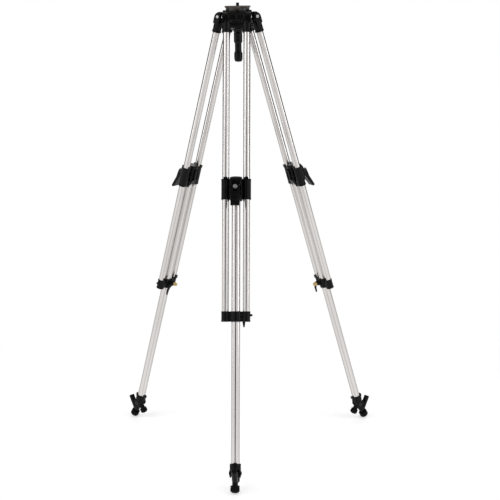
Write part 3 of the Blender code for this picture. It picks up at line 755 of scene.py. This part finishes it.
def leverMesh(s):
    x, z, nose, half = s["leverX"], s["leverZ"], s["nose"], s["leverHalf"]
    curve = [(x + nose * cos(radians(a)), z + nose * sin(radians(a))) for a in range(0, 181, 15)]
    outline = curve + [(25.5, -503), (30.5, -514), (34.5, -524), (38.5, -534.5), (43.2, -546.2),
                       (46.0, -548.6), (51.2, -545.4), (46.4, -530), (41, -514)]
    body = slab(softCorners(outline, 1.5, True, 2), -half, half)
    taper = [block((20, side * 19 - 6, -570), (60, side * 19 + 6, -530)) for side in (-1, 1)]
    for side, cutter in zip((-1, 1), taper):
        corner = Matrix.Translation((0, side * half, -530))
        cutter.data.transform(corner @ Matrix.Rotation(side * radians(7), 4, "X") @ corner.inverted())
    groove = [(41.2, -512), (43.7, -511), (51.2, -535), (49.4, -537), (46.2, -531)]
    hollows = [block((0, -6.6, -506), (60, 6.6, -480)), bar(s["leverBore"], -20, 20, "y", at=(x, z)),
               slab(groove, -8.6, 8.6)]
    return casting([body], hollows + taper, voxel=0.45, keep=0.25, smoothing=6)


def boltMesh(s):
    head = lathe(softCorners([(0, 24.5), (6, 24.5), (6, 41), (3.2, 41), (2.9, 37.5), (0, 37.5)], 0.6), 64)
    stem = bar(4.0, 15.5, 26, steps=48)
    bolt = combine(head, [stem], "UNION")
    bolt.data.transform(Matrix.Translation((0, 0, s["leverZ"])) @ axisTurns["x"])
    hole = bar(s["leverBore"], -20, 20, "y", at=(s["leverX"], s["leverZ"]))
    return takeMesh(combine(bolt, [hole], "DIFFERENCE"))


bracketSizes = {"top": -841.2, "bottom": -870.6, "screwZ": -850.0, "body": 16.5, "collar": 11.3, "lip": 11.75,
                "railBore": 10.5, "railStop": -868.3, "tubeBore": 12.95, "screwBore": 4.6}


def bracketMesh(s):
    top, bottom, screwZ = s["top"], s["bottom"], s["screwZ"]
    solids = [bar(s["body"], bottom, top, edge=1.0, steps=80)]
    solids.append(block((-8.5, -22, bottom + 0.6), (8.5, 22, top - 0.6), 0.8))
    solids += sideBars(s["collar"], bottom, top, 0.8)
    solids += sideBars(s["lip"], top - 4, top, 0.6) + sideBars(s["lip"], bottom, bottom + 4, 0.6)
    solids.append(block((-21.5, -8.5, screwZ - 8.5), (0, 8.5, screwZ + 8), 1.6))
    for z in (bottom + 9, top - 9):
        solids.append(block((7.5, -21, z - 1.2), (10.2, 21, z + 1.2), 0.6))
    solids.append(bar(3.4, 38.5, 47, "y", at=(3, screwZ - 2), edge=1.0, steps=40))
    lip = [(-8.5, top - 4), (-9, top + 2), (-11, top + 7.5), (-12.6, top + 7.5), (-12.4, top - 4)]
    for side in (-1, 1):
        solids.append(slab(softCorners(lip, 0.8, True), *sorted((side * 23.5, side * 36)), 0.5))
    hollows = sideBars(s["railBore"], s["railStop"], top + 10)
    hollows += [bar(s["tubeBore"], bottom - 10, top + 10), bar(s["screwBore"], -30, 0, "x", at=(0, screwZ))]
    return casting(solids, hollows, voxel=0.55, keep=0.28)


def screwMesh(s, finish):
    profile = [(0, -13), (3.6, -13), (3.6, -27.5), (5.4, -27.7), (5.4, -33.4), (4.5, -34), (4.5, -34.6),
               (5.0, -35.2), (5.0, -37.6), (4.0, -38.5), (0, -38.5)]
    shank = takeMesh(lathe(softCorners(profile, 0.4), 48))
    knurl = ringOf(ridge(0.75, 0.6, 2.0, -36.5), 26, 4.95, finish)
    collar = ringOf(ridge(0.75, 0.6, 4.8, -30.5), 28, 5.35, finish)
    screw = joinMeshes([shank, knurl, collar])
    screw.transform(Matrix.Translation((0, 0, s["screwZ"])) @ axisTurns["x"])
    return screw


wingSizes = {"hub": 7.2, "bore": 3.9, "near": -22.3, "far": -27.2}


def wingMesh(s, height):
    outline = [(-2, 5.5), (-9, 3.5), (-21, -8), (-25.5, -19), (-23.6, -35.4), (-19.8, -35.4), (-17, -20),
               (-12, -11.5), (2.5, -5.5), (4.5, 0)]
    blade = slab(softCorners(outline, 1.5, True), s["far"] + 0.6, s["near"] - 0.6)
    hub = bar(s["hub"], s["far"], s["near"], "y", edge=0.6)
    wing = casting([hub, blade], [bar(s["bore"], -40, -20, "y")], voxel=0.35, keep=0.3, smoothing=4)
    wing.transform(Matrix.Translation((0, 0, height)) @ Matrix.Rotation(-pi / 2, 4, "Z"))
    return wing


footSizes = {"pivot": -1290.0, "top": -1263.5, "radius": 15.8, "slotHalf": 11.6, "toe": (10, -43),
             "heel": (-21.5, -19.5), "peg": (37, 5), "tubeBore": 12.9, "pinBore": 4.4, "hub": 9.8,
             "hubHalf": 11.2}
capSizes = {"toe": {"radius": 13.0, "length": 20.0, "spigot": 8.0},
            "heel": {"radius": 11.2, "length": 17.0, "spigot": 7.5}}


def footSocketMesh(s):
    pivot, top = s["pivot"], s["top"]
    solids = [bar(s["radius"], pivot, top, edge=1.2, steps=80)]
    solids.append(bar(s["radius"] - 0.5, pivot, top - 4, edge=0.5, steps=80))
    solids.append(bar(12.5, -15.6, 15.6, "y", at=(0, pivot), edge=0.8))
    lip = [(10, top - 7), (16.2, top - 7), (17.4, top + 2.5), (14.6, top + 2.5), (12.5, top - 3)]
    for outline in (lip, [(-x, z) for x, z in reversed(lip)]):
        solids.append(slab(softCorners(outline, 0.8, True), -7, 7, 0.6))
    for side in (-1, 1):
        solids.append(block((side * 15.4 - 1, -3, pivot + 2), (side * 15.4 + 1, 3, top - 6), 0.6))
    hollows = [bar(s["tubeBore"], tubeSizes["bottom"] - 0.3, top + 10)]
    hollows.append(bar(s["pinBore"], -30, 30, "y", at=(0, pivot)))
    hollows.append(block((-30, -s["slotHalf"], pivot - 30), (30, s["slotHalf"], pivot + 10.3)))
    return casting(solids, hollows, voxel=0.5, keep=0.25, smoothing=4)


def rockerMesh(s):
    toe, heel, peg = s["toe"], s["heel"], s["peg"]
    solids = [bar(s["hub"], -s["hubHalf"], s["hubHalf"], "y", edge=0.8)]
    solids.append(arm((0, 0), (toe[0] * 1.05, toe[1] * 1.05), 9.4, 7.7))
    solids.append(arm((0, 0), heel, 8.8, 7.2))
    solids.append(arm((toe[0] * 1.1, toe[1] * 0.55), (peg[0] * 1.04, peg[1] + 4), 8.2, 8.2))
    web = [(0, -2), (peg[0] * 0.8, 0), (toe[0] * 1.4, toe[1] * 0.6), (-3, -18)]
    solids.append(slab(softCorners(web, 2, True), -5.5, 5.5, 0.8))
    rocker = casting(solids, [bar(s["pinBore"], -30, 30, "y")], voxel=0.55, keep=0.3, smoothing=8)
    rocker.transform(Matrix.Translation((0, 0, s["pivot"])))
    return rocker


def capMesh(s, end, finish):
    centre, given = s[end], capSizes[end]
    radius, length, hole = given["radius"], given["length"], given["spigot"] + 0.4
    low, rim = length / 2, -length / 2
    profile = [(0, low * 0.36), (hole, low * 0.36), (hole, rim), (radius - 0.9, rim), (radius, rim + 0.9),
               (radius, rim + 3.2), (radius - 0.8, rim + 3.8), (radius - 0.8, rim + 4.8), (radius, rim + 5.4),
               (radius, low - 6.5), (radius - 1.6, low - 3.0), (radius - 4.2, low - 0.8), (radius - 7.0, low),
               (radius * 0.45, low), (radius * 0.38, low - 1.0), (0, low - 1.0)]
    cap = takeMesh(lathe(softCorners(profile, 0.8), 72))
    treads = ringOf(ridge(1.6, 1.2, length - 11, 1.6), 18, radius - 0.45, finish)
    cap = joinMeshes([cap, treads])
    away = Vector((centre[0], 0, centre[1])).to_track_quat("Z", "Y").to_matrix().to_4x4()
    cap.transform(Matrix.Translation((centre[0], 0, s["pivot"] + centre[1])) @ away)
    return cap


def legParts():
    # name: mesh, finish (none: the leg's own tube metal), body (none: the head), record slot,
    # angle from which edges stay crisp (0: none)
    casts, feet = castingPaint, footSizes
    return {
        "shoulder": (shoulderMesh(shoulderSizes), casts, "leg", "black_casting", 0),
        "hinge_pin": (pinMesh(hingePinSizes), platedSteel, None, "bright_steel", 35),
        "rail_a": (tubeMesh(railSizes, -railSizes["half"]), None, "leg", "bright_tube", 35),
        "rail_b": (tubeMesh(railSizes, railSizes["half"]), None, "leg", "bright_tube", 35),
        "bracket": (bracketMesh(bracketSizes), casts, "leg", "black_casting", 0),
        "lock_screw": (screwMesh(bracketSizes, turnedBrass), turnedBrass, "lock", "brass", 35),
        "lock_wing": (wingMesh(wingSizes, bracketSizes["screwZ"]), casts, "lock", "black_casting", 0),
        "slider": (sliderMesh(sliderSizes), casts, "extension", "black_casting", 0),
        "tension_bolt": (boltMesh(sliderSizes), platedSteel, "extension", "bright_steel", 35),
        "lever": (leverMesh(sliderSizes), casts, "lever_arm", "black_casting", 0),
        "tube": (tubeMesh(tubeSizes), None, "extension", "bright_tube", 35),
        "foot_socket": (footSocketMesh(feet), casts, "extension", "black_casting", 0),
        "foot_pin": (pinMesh(footPinSizes, feet["pivot"]), blackSteel, "extension", "dark_steel", 35),
        "foot_rocker": (rockerMesh(feet), casts, "foot", "black_casting", 0),
        "toe_cap": (capMesh(feet, "toe", capRubber), capRubber, "foot", "black_rubber", 35),
        "heel_cap": (capMesh(feet, "heel", capRubber), capRubber, "foot", "black_rubber", 35),
    }


def buildLegs():
    parts = legParts()
    print("leg shapes made")
    for leg in legNames:
        for name, (mesh, finish, body, slotName, sharp) in parts.items():
            node = leg + "_" + name
            rides = "head" if body is None else leg + "_" + body
            addPiece("fine_" + node, mesh, legPlaces[leg], finish or tubeMetal[leg], rides, [node],
                     sharp)
        for slot in frame["nodes"][leg + "_lever_pin"].material_slots:
            slot.material = blackSteel


cameraSizes = {"side": 0.2525, "back": 3.7211, "aboveRim": 0.06805, "pitch": 11.738, "yaw": -3.494,
               "roll": -0.869, "lens": 91.418, "sensor": 36.0}


def addCamera(s):
    middle = Vector(joints["level_tilt"]["pos_m"])
    data = bpy.data.cameras.new("camera")
    data.lens, data.sensor_width = s["lens"], s["sensor"]
    data.clip_end = 100
    pitch, yaw, roll = radians(s["pitch"]), radians(s["yaw"]), radians(s["roll"])
    ahead = Vector((sin(yaw) * cos(pitch), cos(yaw) * cos(pitch), -sin(pitch)))
    right = Vector((cos(yaw), -sin(yaw), 0))
    up = right.cross(ahead)
    across, over = cos(roll) * right + sin(roll) * up, cos(roll) * up - sin(roll) * right
    turn = Matrix((across, over, -ahead)).transposed().to_4x4()
    camera = bpy.data.objects.new("camera", data)
    camera.matrix_world = Matrix.Translation(middle + Vector((s["side"], -s["back"], s["aboveRim"]))) @ turn
    bpy.context.scene.collection.objects.link(camera)
    bpy.context.scene.camera = camera


floorSizes = {"radius": 7.0, "wallHeight": 9.0, "bend": 2.0, "plain": 0.5, "white": 1.5, "lift": 0.55,
              "colour": (0.93, 0.93, 0.93)}


def addFloor(s):
    # round paper sweep: shaded near the feet, fading to plain white before the wall
    bend = [(s["radius"] - s["bend"] * (1 - sin(a)), s["bend"] * (1 - cos(a))) for a in
            [pi / 2 * k / 16 for k in range(17)]]
    floor = lathe([(0, -0.0005), (s["plain"], -0.0005)] + bend + [(s["radius"], s["wallHeight"])], 128)
    floor.name = "floor"
    material = bpy.data.materials.new("floorPaper")
    material.use_nodes = True
    tree = material.node_tree
    shader = tree.nodes["Principled BSDF"]
    shader.inputs["Base Color"].default_value = (*s["colour"], 1.0)
    shader.inputs["Roughness"].default_value = 0.95
    shader.inputs["Specular IOR Level"].default_value = 0.0
    shader.inputs["Emission Color"].default_value = (1, 1, 1, 1)
    shader.inputs["Emission Strength"].default_value = s["lift"]
    glow = addNode(tree, "ShaderNodeEmission")
    where = addNode(tree, "ShaderNodeTexCoord")
    reach = addNode(tree, "ShaderNodeVectorMath", operation="LENGTH")
    tree.links.new(where.outputs["Object"], reach.inputs[0])
    mixed = addNode(tree, "ShaderNodeMixShader")
    tree.links.new(spread(tree, reach.outputs["Value"], 0.0, 1.0, s["plain"], s["white"]), mixed.inputs[0])
    tree.links.new(shader.outputs[0], mixed.inputs[1])
    tree.links.new(glow.outputs[0], mixed.inputs[2])
    tree.links.new(mixed.outputs[0], tree.nodes["Material Output"].inputs["Surface"])
    floor.data.materials.append(material)
    floor.visible_glossy = False
    floor.visible_diffuse = False
    floor.visible_shadow = False


skyStops = [  # share of a half turn from straight in front, and brightness there
    (0.00, 0.04), (0.075, 0.04), (0.12, 0.95), (0.23, 1.05), (0.30, 0.45), (0.36, 0.95), (0.45, 1.0),
    (0.52, 0.04), (0.86, 0.03), (0.93, 0.50), (1.00, 0.60)]


def addStudioLight():
    # light and dark upright stripes, the same on both sides, over a near-white lower half
    world = bpy.data.worlds.new("tent")
    bpy.context.scene.world = world
    world.use_nodes = True
    tree = world.node_tree
    back = tree.nodes["Background"]
    where = addNode(tree, "ShaderNodeTexCoord")
    parts = addNode(tree, "ShaderNodeSeparateXYZ")
    tree.links.new(where.outputs["Generated"], parts.inputs[0])
    side = addNode(tree, "ShaderNodeMath", operation="ABSOLUTE")
    tree.links.new(parts.outputs["X"], side.inputs[0])
    away = addNode(tree, "ShaderNodeMath", operation="MULTIPLY")
    away.inputs[1].default_value = -1.0
    tree.links.new(parts.outputs["Y"], away.inputs[0])
    angle = addNode(tree, "ShaderNodeMath", operation="ARCTAN2")
    tree.links.new(side.outputs[0], angle.inputs[0])
    tree.links.new(away.outputs[0], angle.inputs[1])
    share = addNode(tree, "ShaderNodeMath", operation="DIVIDE")
    share.inputs[1].default_value = pi
    tree.links.new(angle.outputs[0], share.inputs[0])
    stops = [(place, (level, level, level)) for place, level in skyStops]
    low = spread(tree, parts.outputs["Z"], 0.7, 0.0, -0.12, 0.06)
    stripes = ramp(tree, share.outputs[0], stops)
    tree.links.new(blendColours(tree, low, stripes, (1.0, 0.99, 0.98)), back.inputs["Color"])
    back.inputs["Strength"].default_value = 1.0


lampSettings = [  # name, place, width, height, power
    ("keyLamp", (-2.2, -2.4, 3.6), 1.6, 1.6, 6), ("backLamp", (0.4, 3.0, 3.0), 1.8, 1.8, 12),
    ("rightStrip", (3.2, -0.7, 1.9), 0.5, 3.0, 13), ("leftStrip", (-3.2, -0.9, 1.9), 0.5, 3.0, 8)]


def addLamps():
    target = Vector((0, 0, 0.75))
    for name, place, width, height, power in lampSettings:
        data = bpy.data.lights.new(name, "AREA")
        data.shape = "RECTANGLE"
        data.size, data.size_y, data.energy = width, height, power
        lamp = bpy.data.objects.new(name, data)
        turn = (target - Vector(place)).to_track_quat("-Z", "Y").to_matrix().to_4x4()
        lamp.matrix_world = Matrix.Translation(place) @ turn
        bpy.context.scene.collection.objects.link(lamp)


addCamera(cameraSizes)
addFloor(floorSizes)
addStudioLight()
addLamps()
bpy.context.scene.view_settings.view_transform = "Standard"
print("studio made")
buildHead()
print("head made")
buildLegs()
print("legs made")
